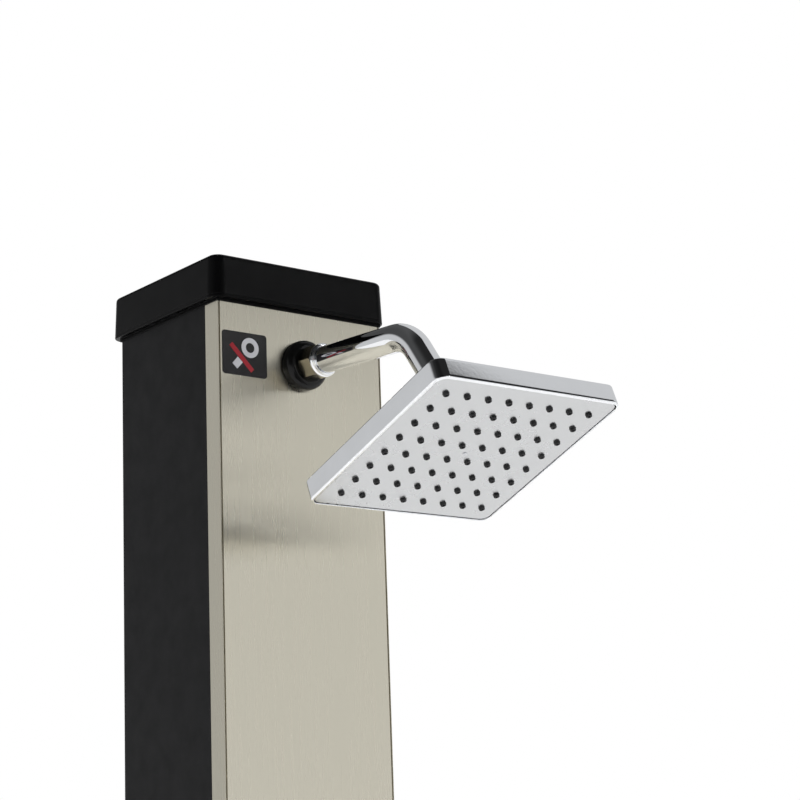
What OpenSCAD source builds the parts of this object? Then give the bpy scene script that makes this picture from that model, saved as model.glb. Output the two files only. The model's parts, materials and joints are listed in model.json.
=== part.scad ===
// Free-standing rain shower column with its own water tank.
// Origin: centre of the column on the floor. +Z up, the shower side faces -Y.

/* [Column] */
// Width of the column across its front
column_w = 146; // [140:1:156]
// Depth of the column from front to back
column_d = 136; // [132:1:150]
// Height from the floor to the top of the cap
total_h = 2170; // [2000:10:2300]
// Wall thickness of the rear casing
shell_t = 3; // [2:0.5:3]
// Thickness of the front panel
panel_t = 1.5; // [1:0.5:2]
// How far the corner trims reach back along the sides
trim_side = 16.6; // [12:0.2:24]
// Thickness of the corner trims
trim_t = 0.8; // [0.6:0.1:1]
// Width of the groove between trim and front panel
groove_w = 1.2; // [0.8:0.1:2]

/* [Cap] */
// Height of the visible cap
cap_h = 32.7; // [28:0.1:40]
// How far the cap stands out past the column's sides
cap_side_out = 5; // [3:0.5:6]
// How far the cap stands out past the front panel
cap_front_out = 4; // [3:0.5:6]
// How far the cap stands out past the back
cap_back_out = 8; // [4:0.5:10]
// Radius of the cap's vertical corners
cap_corner_r = 10; // [8:0.5:12]
// Radius of the cap's top edge
cap_edge_r = 3.5; // [2:0.5:5]

/* [Base] */
// Width of the base plate
base_w = 210; // [205:5:240]
// Depth of the base plate
base_d = 200; // [195:5:230]
// Thickness of the base plate
base_t = 6; // [4:1:8]
// Anchor hole spacing across the width
anchor_dx = 180; // [176:2:190]
// Anchor hole spacing along the depth
anchor_dy = 170; // [166:2:180]
// Radius of the anchor holes
anchor_r = 5.5; // [4.5:0.5:6.5]

/* [Shower arm] */
// Depth of the arm outlet below the cap
outlet_drop = 42.3; // [38:0.1:60]
// Downward slope of the first straight run, degrees
arm_droop = 2.4; // [0:0.1:4]
// Length of the first run from the panel
arm_run = 112; // [100:1:150]
// Radius of the bend on the tube's centre line
bend_r = 33.5; // [30:0.5:40]
// Angle of the bend, degrees
bend_angle = 51.4; // [40:0.2:60]
// Outer radius of the tube
tube_r = 10; // [9.5:0.1:10.5]
// Wall of the tube
tube_t = 1.3; // [1:0.1:1.5]
// Distance from the end of the bend to the centre of the ball
ball_s = 48.8; // [46:0.2:60]
// Radius of the swivel ball
ball_r = 11; // [11:0.5:11.5]

/* [Rain head] */
// Side of the square head
head_side = 155; // [154.6:0.2:160]
// Corner radius of the head
head_corner_r = 8.5; // [7:0.5:12]
// Height of the head's side wall
head_rim_h = 14.6; // [13:0.2:18]
// Angle between the nozzle plate and the horizontal, degrees
head_tilt = 21.2; // [10:0.2:30]
// Distance from the nozzle plate to the centre of the ball
face_drop = 44.5; // [44:0.5:48]
// Spacing of the nozzles
nozzle_pitch = 17.24; // [16:0.02:17.6]
// Radius of a nozzle
nozzle_r = 2.1; // [2:0.1:2.8]
// How far the nozzles stand out of the plate
nozzle_out = 1.8; // [1:0.1:3]

/* [Mixer and foot tap] */
// Height of the mixer above the floor
mixer_z = 1150; // [1050:10:1250]
// How far the lever reaches from its pivot
lever_reach = 92; // [80:1:105]
// Height of the foot tap above the floor
foot_tap_z = 330; // [300:10:450]
// Height of the hose inlet above the floor
inlet_z = 110; // [100:5:120]
// Radius of the hose inlet's thread
inlet_r = 13.2; // [13.2:0.1:13.4]

/* [Hidden] */
$fn = 64;

eps = 0.1;
thread_gap = 0.1;
side_x = column_w / 2;
front_y = -column_d / 2;
back_y = column_d / 2;
cap_z = total_h - cap_h;
shell_z = base_t;
panel_w = column_w - 2 * (trim_t + groove_w);
rebate_y = front_y + panel_t;
outlet_z = cap_z - outlet_drop;

// Neck of the cap over the upper edges of panel and trims, and the cap's screws
neck_h = 2.3;
neck_out = 0.7;
cap_screw_x = 50;
cap_screw_z = cap_z - 10;

// Label on the front panel
label_w = 38.4;
label_h = 32.4;
label_t = 0.3;
label_print_t = 0.15;
label_x = -50.4;
label_z = cap_z - 39.5;

// Tank and the pipe space in front of it
tank_w = 130;
tank_front = front_y + 28;
tank_back = back_y - 6;
tank_d = tank_back - tank_front;
tank_y = (tank_back + tank_front) / 2;
tank_t = 3;
tank_z = 170;
tank_top = cap_z - 22;
tank_port_y = 20;
lid_t = 6;
pipe_r = 7;
pipe_bore = 5.5;
pipe_x = 34;
pipe_y = front_y + 15;
hot_outlet_z = tank_top - 45;
riser_top = outlet_z - 23;
drain_x = 28;
inlet_out = 16;

// Screws that hold the casing to the base brackets
base_screw_y = 36;
base_screw_z = 52;

// Arm outlet, measured outward from the panel
grommet_r = 18.6;
grommet_h = 11;
hex_start = 12;
hex_end = 26.5;
hex_af = 22;
collar_end = 31;
collar_r = 12.4;
shank_r = 10.4;
shank_depth = 20;
outlet_hole_r = 11;

// Ball joint, measured from the centre of the ball
seat_gap = 0.3;
seat_t = 1.3;
seat_in_r = ball_r + seat_gap;
friction_in_r = seat_in_r + seat_t + seat_gap;
socket_r = friction_in_r + seat_t + seat_gap;
neck_r = 17.3;
retainer_r = 20.5;

// Rain head, measured from the front of the nozzle plate
nozzle_rows = 8;
lip_out = 0.6;
plate_half = 75.2;
plate_corner_r = 6;
plate_t = 2;
mat_t = 1.2;
mat_half = 71.5;
mat_corner_r = 4;
head_back_z = 23;

// Mixer, measured outward from the panel
pivot_out = 32;
port_x = 27;
body_r = 25;
dome_r = 25;
hub_in_r = dome_r + 0.5;
hub_t = 3;
lever_rest = 12.5;

// Foot tap, measured outward from the panel
tap_body_r = 11;
tap_body_out = 36;

// ---------- helpers ----------

module rounded_rect(w, d, r) {
    square([w - 2 * r, d], center = true);
    square([w, d - 2 * r], center = true);
    for (sx = [-1, 1], sy = [-1, 1])
        translate([sx * (w / 2 - r), sy * (d / 2 - r)]) circle(r);
}

module rounded_block(w, d, h, r) {
    linear_extrude(h) rounded_rect(w, d, r);
}

module ring(outer_r, inner_r, h) {
    difference() {
        cylinder(r = outer_r, h = h);
        translate([0, 0, -eps]) cylinder(r = inner_r, h = h + 2 * eps);
    }
}

module hexagon(across_flats, h) {
    cylinder(r = across_flats / sqrt(3), h = h, $fn = 6);
}

// Places its children for each pair of opposite sides of the column.
module both_sides() {
    children();
    mirror([1, 0, 0]) children();
}

// Local +Z points out of the front panel at the given height.
module at_front(z) {
    translate([0, front_y, z]) rotate([90, 0, 0]) children();
}

// Local +Z runs along the first straight run of the arm, +Y is up.
module at_outlet() {
    translate([0, front_y, outlet_z]) rotate([90 + arm_droop, 0, 0]) children();
}

// Local +Z runs along the second straight run of the arm.
module at_second_run() {
    at_outlet()
    translate([0, -bend_r * (1 - cos(bend_angle)), arm_run + bend_r * sin(bend_angle)])
    rotate([bend_angle, 0, 0]) children();
}

// Centre of the ball, turned back so that +Z is square to the nozzle plate.
module at_ball() {
    at_second_run()
    translate([0, 0, ball_s])
    rotate([-(90 + arm_droop + bend_angle) - head_tilt, 0, 0]) children();
}

// Middle of the nozzle plate's front, +Z towards the back of the head.
module at_head() {
    at_ball() translate([0, 0, -face_drop]) children();
}

// Straight pieces of pipe through a list of points.
module pipe_core(points, r) {
    for (i = [0 : len(points) - 2]) {
        a = points[i];
        d = points[i + 1] - a;
        translate(a)
        rotate([0, acos(d[2] / norm(d)), atan2(d[1], d[0])])
        cylinder(r = r, h = norm(d), $fn = 24);
    }
    if (len(points) > 2)
        for (i = [1 : len(points) - 2])
            translate(points[i]) sphere(r, $fn = 24);
}

module pan_screw(head_r, head_h, shank_r, shank_l) {
    cylinder(r1 = head_r, r2 = head_r * 0.75, h = head_h);
    translate([0, 0, -shank_l]) cylinder(r = shank_r, h = shank_l);
}

// ---------- column casing ----------

// One layer of the cap's outline, set in from its lower edge.
module cap_layer(z, inset) {
    corner_x = side_x + cap_side_out - cap_corner_r;
    corner_front = front_y - cap_front_out + cap_corner_r;
    corner_back = back_y + cap_back_out - cap_corner_r;
    for (sx = [-1, 1], y = [corner_front, corner_back])
        translate([sx * corner_x, y, z])
        cylinder(r = cap_corner_r - inset, h = 0.01, $fn = 32);
}

// Band under the cap's lip that hides the upper edges of the column.
module cap_neck() {
    play = 0.1;
    translate([0, 0, cap_z - neck_h]) linear_extrude(neck_h + eps) difference() {
        square([column_w + 2 * neck_out, column_d + 2 * neck_out], center = true);
        square([column_w + play, column_d + play], center = true);
    }
}

module top_cap() {
    draft = 1.1;
    wall = 2.5;
    plug_h = 18;
    plug_wall = 2;
    plug_w = column_w - 2 * shell_t - 0.6;
    plug_front = rebate_y + trim_t + 0.3;
    plug_back = back_y - shell_t - 0.3;
    plug_d = plug_back - plug_front;
    plug_y = (plug_back + plug_front) / 2;
    color("#202022") difference() {
        union() {
            translate([0, 0, cap_z]) hull() {
                cap_layer(0, 0);
                for (a = [0 : 15 : 90])
                    cap_layer(cap_h - cap_edge_r * (1 - sin(a)), draft + cap_edge_r * (1 - cos(a)));
            }
            cap_neck();
            translate([0, plug_y, cap_z - plug_h]) rounded_block(plug_w, plug_d, plug_h + eps, 2);
        }
        translate([0, plug_y, cap_z - plug_h - eps])
            rounded_block(plug_w - 2 * plug_wall, plug_d - 2 * plug_wall, plug_h + cap_h - wall, 1);
        for (sx = [-1, 1])
            translate([sx * cap_screw_x, back_y - eps, cap_screw_z])
            rotate([90, 0, 0]) cylinder(r = 2, h = 10);
    }
}

module rear_shell() {
    lap_t = 1.5;
    h = cap_z - shell_z;
    color("#212123") difference() {
        translate([0, 0, shell_z]) linear_extrude(h) {
            difference() {
                translate([-side_x, front_y + trim_side])
                    square([column_w, column_d - trim_side]);
                translate([-side_x + shell_t, front_y])
                    square([column_w - 2 * shell_t, column_d - shell_t]);
            }
            both_sides()
                translate([-side_x + trim_t, rebate_y + trim_t + 0.3])
                square([lap_t, trim_side - panel_t - trim_t]);
        }
        translate([0, back_y + eps, inlet_z])
            rotate([90, 0, 0]) cylinder(r = inlet_r + 0.3, h = 10);
        for (sx = [-1, 1])
            translate([sx * cap_screw_x, back_y + eps, cap_screw_z])
            rotate([90, 0, 0]) cylinder(r = 2.2, h = 10);
        base_screw_places(-8) cylinder(r = 3.2, h = 12);
    }
}

module front_panel() {
    color("#b3aa98") difference() {
        translate([-panel_w / 2, front_y, shell_z]) cube([panel_w, panel_t, cap_z - shell_z]);
        at_front(outlet_z) translate([0, 0, -5]) cylinder(r = outlet_hole_r, h = 10);
        at_front(mixer_z) translate([0, 0, -5]) cylinder(r = 21, h = 10);
        at_front(foot_tap_z) translate([0, 0, -5]) cylinder(r = 10.5, h = 10);
    }
}

// Corner profile: a leg along the side and a flange behind the panel.
module trim_profile() {
    flange_w = 12;
    edge_r = trim_t / 2;
    color("#a9a08e") translate([-side_x, 0, shell_z]) linear_extrude(cap_z - shell_z) {
        translate([0, front_y + edge_r]) square([trim_t, trim_side - edge_r]);
        translate([edge_r, front_y + edge_r]) circle(edge_r, $fn = 24);
        translate([0, rebate_y]) square([flange_w, trim_t]);
    }
}

module left_trim() {
    trim_profile();
}

module right_trim() {
    mirror([1, 0, 0]) trim_profile();
}

// Small angles that tie each trim to the casing from inside.
module trim_clips() {
    clip_h = 24;
    count = 5;
    inner_x = -side_x + trim_t + 1.5;
    first_y = rebate_y + trim_t;
    color("silver") both_sides()
        for (i = [0 : count - 1])
            translate([inner_x, first_y, 120 + i * (cap_z - 240) / (count - 1)]) {
                cube([1, 11, clip_h]);
                cube([8, 1, clip_h]);
            }
}

// ---------- label ----------

module at_label(layer) {
    translate([label_x, front_y - layer, label_z]) rotate([90, 0, 0]) children();
}

module tool_label() {
    color("#1c1c1e") at_label(0) rounded_block(label_w, label_h, label_t, 2.5);
}

// Plain ring key in two parts, with a gap where the bar crosses it.
module label_symbol() {
    color("#d8d8dc") at_label(label_t) rotate([0, 0, -42]) {
        translate([0, 7, 0]) ring(7.4, 3.7, label_print_t);
        translate([-2.8, -13, 0]) cube([5.6, 7, label_print_t]);
    }
}

module label_bar() {
    color("#a32430") at_label(label_t) rotate([0, 0, -45])
        translate([-13, -5.6, 0]) cube([26, 3.6, label_print_t]);
}

// ---------- arm outlet and arm ----------

module outlet_elbow() {
    seat = -panel_t - 0.7;
    leg_h = 30;
    color("#b08d48") difference() {
        union() {
            at_outlet() translate([0, 0, -26]) cylinder(r = 14, h = 26 + seat);
            translate([0, pipe_y, outlet_z - leg_h]) cylinder(r = 9, h = leg_h);
        }
        at_outlet() translate([0, 0, -shank_depth - 3])
            cylinder(r = shank_r + thread_gap, h = shank_depth + 5);
        translate([0, pipe_y, outlet_z - leg_h - 1]) cylinder(r = pipe_bore, h = leg_h);
        translate([0, pipe_y, outlet_z - leg_h - 1]) cylinder(r = pipe_r + thread_gap, h = 8.5);
    }
}

module connector_seal() {
    color("#2a2a2a") at_outlet() translate([0, 0, -shank_depth - 2.5]) ring(shank_r - 0.2, 6, 2.4);
}

// Soft ring against the panel with a domed outer edge and a stepped front.
module outlet_grommet() {
    edge_r = 6;
    color("#141414") at_outlet() translate([0, 0, 0.8]) rotate_extrude() {
        translate([shank_r + 0.3, 0]) square([grommet_r - edge_r - shank_r - 0.3, grommet_h - 0.8]);
        translate([grommet_r - edge_r - eps, 0]) square([edge_r + eps, grommet_h - 0.8 - edge_r]);
        intersection() {
            translate([grommet_r - edge_r, grommet_h - 0.8 - edge_r]) circle(edge_r);
            translate([grommet_r - edge_r, 0]) square([edge_r, grommet_h]);
        }
    }
}

module arm_connector() {
    sleeve_r = tube_r - tube_t - 0.1;
    color("#6d675c") at_outlet() difference() {
        union() {
            translate([0, 0, -shank_depth]) cylinder(r = shank_r, h = shank_depth + hex_start);
            translate([0, 0, grommet_h + 0.1]) cylinder(r = 10.8, h = 2);
            translate([0, 0, hex_start]) hexagon(hex_af, hex_end - hex_start);
            translate([0, 0, hex_end]) cylinder(r = sleeve_r, h = 18);
        }
        translate([0, 0, -shank_depth - 1]) cylinder(r = 6, h = 80);
        translate([0, 0, hex_end + 10]) ring(sleeve_r + 1, sleeve_r - 1, 2);
    }
}

module arm_o_ring() {
    sleeve_r = tube_r - tube_t - 0.1;
    color("#151515") at_outlet() translate([0, 0, hex_end + 10.1]) ring(sleeve_r, sleeve_r - 1, 1.8);
}

// Polished ring with a rounded outer end, sitting over the end of the tube.
module arm_collar() {
    h = collar_end - hex_end;
    round_r = 2;
    color("#e6e6ea") at_outlet() translate([0, 0, hex_end]) rotate_extrude() {
        translate([tube_r + 0.05, 0]) square([collar_r - tube_r - 0.05, h - round_r]);
        intersection() {
            translate([collar_r - round_r, h - round_r]) circle(round_r);
            translate([tube_r + 0.05, h - round_r]) square([collar_r, round_r]);
        }
    }
}

module arm_sweep(r, start, finish) {
    at_outlet() {
        translate([0, 0, start]) cylinder(r = r, h = arm_run - start);
        translate([0, -bend_r, arm_run]) rotate([90, 0, 90])
            rotate_extrude(angle = bend_angle) translate([bend_r, 0]) circle(r);
    }
    at_second_run() cylinder(r = r, h = finish);
}

module shower_arm() {
    tube_end = 25;
    color("#dfe0e4") difference() {
        arm_sweep(tube_r, hex_end + 0.1, tube_end);
        arm_sweep(tube_r - tube_t, hex_end - 1, tube_end + 1);
    }
}

module ball_connector() {
    sleeve_r = tube_r - tube_t - 0.05;
    color("#d2d3d6") at_second_run() difference() {
        union() {
            translate([0, 0, 12]) cylinder(r = sleeve_r, h = 14);
            translate([0, 0, 25]) hexagon(20, 6);
            translate([0, 0, 30]) cylinder(r = 5.5, h = ball_s - 30);
            translate([0, 0, ball_s]) sphere(ball_r);
        }
        translate([0, 0, 11]) cylinder(r = 3.5, h = 60);
        translate([0, 0, 11]) cylinder(r = 6.6, h = 3);
    }
}

module filter_washer() {
    color("#50555a") at_second_run() translate([0, 0, 12]) difference() {
        cylinder(r = 6.5, h = 1.8);
        for (i = [0 : 7])
            rotate(i * 45) translate([3.6, 0, -eps]) cylinder(r = 0.9, h = 3, $fn = 16);
        translate([0, 0, -eps]) cylinder(r = 0.9, h = 3, $fn = 16);
    }
}

// ---------- ball seats and rain head ----------

// Part of a hollow ball between two levels above and below its centre.
module seat_shell(inner_r, outer_r, low, high) {
    rotate_extrude() intersection() {
        difference() {
            circle(outer_r, $fn = 96);
            circle(inner_r, $fn = 96);
        }
        translate([0, low]) square([outer_r, high - low]);
    }
}

module ball_seat() {
    color("#e9e6dc") at_ball() seat_shell(seat_in_r, seat_in_r + seat_t, -8.5, 5.3);
}

module friction_seat() {
    color("#2b2b2b") at_ball() seat_shell(friction_in_r, friction_in_r + seat_t, -8.5, 6);
}

module retaining_collar() {
    neck_top = 1.5;
    lip_top = 7.8;
    color("#cfd1d5") at_ball() difference() {
        union() {
            translate([0, 0, -9]) cylinder(r = retainer_r, h = 9 + 4.3);
            translate([0, 0, 4.3]) cylinder(r1 = retainer_r, r2 = 17, h = lip_top - 4.3);
        }
        sphere(socket_r);
        translate([0, 0, -10]) cylinder(r = neck_r + 0.05, h = 10 + neck_top);
        cylinder(r = 12.6, h = 20);
        for (i = [0 : 17])
            rotate(i * 20) translate([retainer_r + 0.6, 0, -7]) cylinder(r = 1.2, h = 9, $fn = 16);
    }
}

// One layer of the head's outline at height z, set in from its side wall.
module head_layer(z, inset) {
    place = head_side / 2 - head_corner_r;
    for (sx = [-1, 1], sy = [-1, 1])
        translate([sx * place, sy * place, z])
        cylinder(r = head_corner_r - inset, h = 0.02, $fn = 32);
}

module head_shell() {
    front_r = 1.6;
    back_r = 1.2;
    wall = 2.5;
    pocket_w = 2 * plate_half + 0.4;
    color("#d9dade") at_head() difference() {
        union() {
            hull() {
                for (a = [0 : 45 : 90]) {
                    head_layer(front_r * (1 - sin(a)) - lip_out, front_r * (1 - cos(a)));
                    head_layer(head_rim_h - back_r * (1 - sin(a)), back_r * (1 - cos(a)));
                }
                translate([0, 0, head_back_z - 1]) cylinder(r = 26, h = 1, $fn = 48);
            }
            translate([0, 0, head_back_z - 4]) cylinder(r = neck_r, h = face_drop + 1.4 - head_back_z + 4);
        }
        translate([0, 0, -1]) rounded_block(pocket_w, pocket_w, 4.2, plate_corner_r + 0.2);
        translate([0, 0, 2.6]) hull() {
            rounded_block(144, 144, 7.8, 5, $fn = 32);
            cylinder(r = 24, h = head_back_z - 2.6 - wall, $fn = 48);
        }
        cylinder(r = 8, h = face_drop);
        translate([0, 0, face_drop]) sphere(socket_r);
    }
}

module nozzle_places() {
    span = (nozzle_rows - 1) / 2;
    for (i = [-span : span], j = [-span : span])
        translate([i * nozzle_pitch, j * nozzle_pitch, 0]) children();
}

module face_plate() {
    color("#c9cbcd") at_head() difference() {
        rounded_block(2 * plate_half, 2 * plate_half, plate_t, plate_corner_r);
        nozzle_places() translate([0, 0, -1]) cylinder(r = nozzle_r + 0.05, h = 5, $fn = 24);
        translate([0, 0, -1]) cylinder(r = 1.1, h = 5, $fn = 24);
    }
}

module nozzle_mat() {
    color("#232427") at_head() difference() {
        union() {
            translate([0, 0, plate_t]) rounded_block(2 * mat_half, 2 * mat_half, mat_t, mat_corner_r);
            nozzle_places() translate([0, 0, -nozzle_out])
                cylinder(r = nozzle_r, h = nozzle_out + plate_t + eps, $fn = 24);
        }
        nozzle_places() translate([0, 0, -nozzle_out - eps]) cylinder(r = 1.1, h = 1.3, $fn = 16);
        translate([0, 0, plate_t - 1]) cylinder(r = 1.1, h = 5, $fn = 24);
    }
}

module face_gasket() {
    color("#1b1b1b") at_head() translate([0, 0, plate_t]) difference() {
        rounded_block(2 * plate_half, 2 * plate_half, mat_t, plate_corner_r);
        translate([0, 0, -1]) rounded_block(145, 145, 5, mat_corner_r);
    }
}

module flow_spreader() {
    color("#e4e4e2") at_head() difference() {
        union() {
            translate([0, 0, 9]) cylinder(r = 28, h = 1.5);
            translate([0, 0, 5]) cylinder(r = 4, h = 5);
            for (i = [0 : 2]) rotate(i * 120) translate([22, 0, 10]) cylinder(r = 2, h = 10.5, $fn = 24);
        }
        translate([0, 0, 4]) cylinder(r = 1.05, h = 5);
        for (i = [0 : 11]) rotate(i * 30) translate([15, 0, 8]) cylinder(r = 1.6, h = 4, $fn = 16);
    }
}

module centre_plug() {
    color("#8f9194") at_head() {
        translate([0, 0, -0.4]) cylinder(r = 1.5, h = 0.4);
        cylinder(r = 1, h = 8.5);
    }
}

// ---------- tank and pipes ----------

module tank_body() {
    color("#2c2d2f") difference() {
        translate([0, tank_y, tank_z]) rounded_block(tank_w, tank_d, tank_top - tank_z, 12);
        translate([0, tank_y, tank_z + tank_t])
            rounded_block(tank_w - 2 * tank_t, tank_d - 2 * tank_t, tank_top - tank_z, 9);
        translate([-pipe_x, tank_front - 1, hot_outlet_z])
            rotate([-90, 0, 0]) cylinder(r = pipe_r + thread_gap, h = 10);
        translate([0, tank_port_y, tank_z - 1]) cylinder(r = 9.1, h = 10);
        translate([drain_x, tank_port_y, tank_z - 1]) cylinder(r = 8.1, h = 10);
    }
}

module tank_lid() {
    color("#34363a") translate([0, tank_y, 0]) {
        translate([0, 0, tank_top]) rounded_block(tank_w, tank_d, lid_t, 12);
        translate([0, 0, tank_top - 8]) difference() {
            rounded_block(tank_w - 2 * tank_t - 0.2, tank_d - 2 * tank_t - 0.2, 8.1, 9);
            translate([0, 0, -1]) rounded_block(tank_w - 16, tank_d - 16, 9.05, 5);
        }
    }
}

// Two hollow posts that carry the tank above the inlet.
module tank_feet() {
    foot_w = 16;
    foot_d = 70;
    h = tank_z - base_t - 3;
    color("#3a3a3c") both_sides() translate([-54, tank_y, base_t + 3]) difference() {
        translate([-foot_w / 2, -foot_d / 2, 0]) cube([foot_w, foot_d, h]);
        translate([-foot_w / 2 + 3, -foot_d / 2 + 3, -1]) cube([foot_w - 6, foot_d - 6, h - 2]);
    }
}

module hollow_pipe(points) {
    difference() {
        pipe_core(points, pipe_r);
        pipe_core(points, pipe_bore);
    }
}

module hot_pipe() {
    color("#b87333") hollow_pipe([
        [-pipe_x, tank_front + tank_t, hot_outlet_z],
        [-pipe_x, pipe_y, hot_outlet_z],
        [-pipe_x, pipe_y, mixer_z],
        [-port_x + 3, pipe_y, mixer_z]
    ]);
}

module cold_pipe() {
    main = [
        [0, -6, inlet_z],
        [0, pipe_y, inlet_z],
        [pipe_x, pipe_y, inlet_z],
        [pipe_x, pipe_y, mixer_z],
        [port_x - 3, pipe_y, mixer_z]
    ];
    branch = [[pipe_x, pipe_y, foot_tap_z], [8, pipe_y, foot_tap_z]];
    color("#c08850") difference() {
        union() {
            pipe_core(main, pipe_r);
            pipe_core(branch, pipe_r - 1);
        }
        pipe_core(main, pipe_bore);
        pipe_core(branch, pipe_bore - 1);
    }
}

module riser_pipe() {
    color("#b87333") translate([0, pipe_y, mixer_z + 26])
        ring(pipe_r, pipe_bore, riser_top - mixer_z - 26);
}

// Saddle clips that hold the pipes off the front wall of the tank.
module pipe_clips() {
    saddle_r = pipe_r + 1.5;
    zs = [tank_z + 60, 700, 1400, 1850];
    color("#1f1f21") for (x = [-pipe_x, 0, pipe_x], z = zs)
        if ((x > 0) == (z < mixer_z))
            translate([x, 0, z]) difference() {
                union() {
                    translate([0, pipe_y, 0]) cylinder(r = saddle_r, h = 12);
                    translate([-4, pipe_y, 0]) cube([8, tank_front - pipe_y, 12]);
                }
                translate([0, pipe_y, -1]) cylinder(r = pipe_r + 0.05, h = 14);
            }
}

module inlet_tee() {
    bore = 6;
    color("#b08d48") difference() {
        union() {
            translate([0, -14, inlet_z]) rotate([-90, 0, 0]) cylinder(r = 10, h = 60);
            translate([0, tank_port_y, inlet_z]) cylinder(r = 9, h = tank_z + tank_t - inlet_z);
        }
        translate([0, -15, inlet_z]) rotate([-90, 0, 0]) cylinder(r = bore, h = 62);
        translate([0, -15, inlet_z]) rotate([-90, 0, 0]) cylinder(r = pipe_r + thread_gap, h = 9);
        translate([0, tank_port_y, inlet_z]) cylinder(r = bore, h = 80);
    }
}

// Threaded nipple for a garden-hose connector, clamped in the back wall.
module hose_inlet() {
    color("#b08d48") translate([0, 0, inlet_z]) rotate([-90, 0, 0]) difference() {
        union() {
            translate([0, 0, back_y - 12]) cylinder(r = inlet_r, h = 12 + 2);
            translate([0, 0, back_y]) hexagon(32, 5);
            translate([0, 0, back_y + 5]) cylinder(r = inlet_r, h = inlet_out);
            translate([0, 0, 46]) cylinder(r = 10, h = 12);
        }
        translate([0, 0, 40]) cylinder(r = 6, h = 80);
    }
}

module inlet_nut() {
    color("#b59a5c") translate([0, 0, inlet_z]) rotate([-90, 0, 0])
        translate([0, 0, back_y - shell_t - 6]) difference() {
            hexagon(34, 6);
            translate([0, 0, -1]) cylinder(r = inlet_r + thread_gap, h = 8);
        }
}

module drain_plug() {
    color("#9a7d42") translate([drain_x, tank_port_y, 0]) {
        translate([0, 0, tank_z - 8]) hexagon(22, 8);
        translate([0, 0, tank_z]) cylinder(r = 8, h = tank_t + 5);
    }
}

// ---------- base ----------

module base_plate() {
    color("#8b8d90") difference() {
        rounded_block(base_w, base_d, base_t, 14);
        for (sx = [-1, 1], sy = [-1, 1])
            translate([sx * anchor_dx / 2, sy * anchor_dy / 2, -1]) cylinder(r = anchor_r, h = base_t + 2);
    }
}

// Local +Z points out of each side of the column.
module base_screw_places(out) {
    for (sx = [-1, 1], y = [-base_screw_y, base_screw_y])
        translate([sx * (side_x + out), y, base_screw_z]) rotate([0, sx * 90, 0]) children();
}

module base_brackets() {
    leg = 56;
    color("#75777a") difference() {
        both_sides() translate([-side_x + shell_t, -48, base_t]) {
            cube([3, 96, leg]);
            cube([26, 96, 3]);
        }
        base_screw_places(-8) cylinder(r = 3, h = 12);
    }
}

module base_screws() {
    color("#c4c5c8") base_screw_places(0) pan_screw(5.5, 3, 2.9, 8);
}

module foot_skirt() {
    skirt_t = 4;
    color("#1d1d1f") translate([0, 0, base_t]) difference() {
        rounded_block(column_w + 2 * skirt_t, column_d + 2 * skirt_t, 30, 5);
        translate([-column_w / 2, -column_d / 2, -1]) cube([column_w, column_d, 32]);
    }
}

module cap_screws() {
    color("#b9babd") for (sx = [-1, 1])
        translate([sx * cap_screw_x, back_y, cap_screw_z]) rotate([-90, 0, 0]) pan_screw(4, 2.4, 1.9, 8);
}

// ---------- mixer ----------

// Pivot of the lever, +Z along the stem at rest.
module at_pivot() {
    at_front(mixer_z) translate([0, 0, pivot_out]) rotate([lever_rest, 0, 0]) children();
}

module mixer_escutcheon() {
    color("#dcdde0") at_front(mixer_z) difference() {
        union() {
            cylinder(r = 34, h = 2);
            translate([0, 0, 2]) cylinder(r1 = 34, r2 = 31, h = 2);
        }
        translate([0, 0, -1]) cylinder(r = body_r + 0.05, h = 6);
    }
}

module mixer_body() {
    inner_r = 20;
    port_out = front_y - pipe_y;
    color("#d4d5d8") at_front(mixer_z) difference() {
        union() {
            translate([0, 0, -24]) cylinder(r = inner_r, h = 25);
            cylinder(r = body_r, h = pivot_out - 2);
            translate([-port_x, 0, port_out]) rotate([0, 90, 0]) cylinder(r = 8.8, h = 2 * port_x);
            translate([0, 0, port_out]) rotate([-90, 0, 0]) cylinder(r = 8.7, h = 32);
        }
        translate([0, 0, 5]) cylinder(r = 17.6, h = 40);
        for (sx = [-1, 1]) translate([sx * (port_x - 6), 0, port_out]) rotate([0, sx * 90, 0])
            cylinder(r = pipe_r + thread_gap, h = 10);
        translate([0, 25.5, port_out]) rotate([-90, 0, 0]) cylinder(r = pipe_r + thread_gap, h = 10);
        translate([-40, 0, port_out]) rotate([0, 90, 0]) cylinder(r = 4.2, h = 80);
        translate([0, 0, port_out]) rotate([-90, 0, 0]) cylinder(r = 4, h = 40);
        translate([0, 0, port_out]) cylinder(r = 3.5, h = 30);
    }
}

// Fixed domed cover round the cartridge, with a window for the stem.
module mixer_dome() {
    window_r = 12;
    color("#e2e3e6") at_front(mixer_z) translate([0, 0, pivot_out]) difference() {
        intersection() {
            sphere(dome_r);
            translate([0, 0, -2]) cylinder(r = 40, h = 40);
        }
        sphere(dome_r - 3);
        translate([0, 0, -3]) cylinder(r = 18, h = 10);
        cylinder(r = window_r, h = 40);
    }
}

module mixer_cartridge() {
    color("#ecebe6") at_front(mixer_z) difference() {
        translate([0, 0, 5]) cylinder(r = 17.5, h = pivot_out - 7.5);
        translate([0, 0, pivot_out - 13]) cylinder(r = 12.4, h = 30);
        translate([0, 0, 4]) cylinder(r = 3.5, h = 10);
    }
}

// Turns with the lever's swing; its two cheeks hold the stem's pin.
module cartridge_rotor() {
    color("#d9a441") at_front(mixer_z) translate([0, 0, pivot_out]) difference() {
        union() {
            translate([0, 0, -12.6]) cylinder(r = 12, h = 6);
            for (sx = [-1, 1]) translate([sx * 6.2 - 1.8, -4.5, -7]) cube([3.6, 9, 11.5]);
        }
        translate([-10, 0, 0]) rotate([0, 90, 0]) cylinder(r = 1.5, h = 20, $fn = 32);
    }
}

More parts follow.
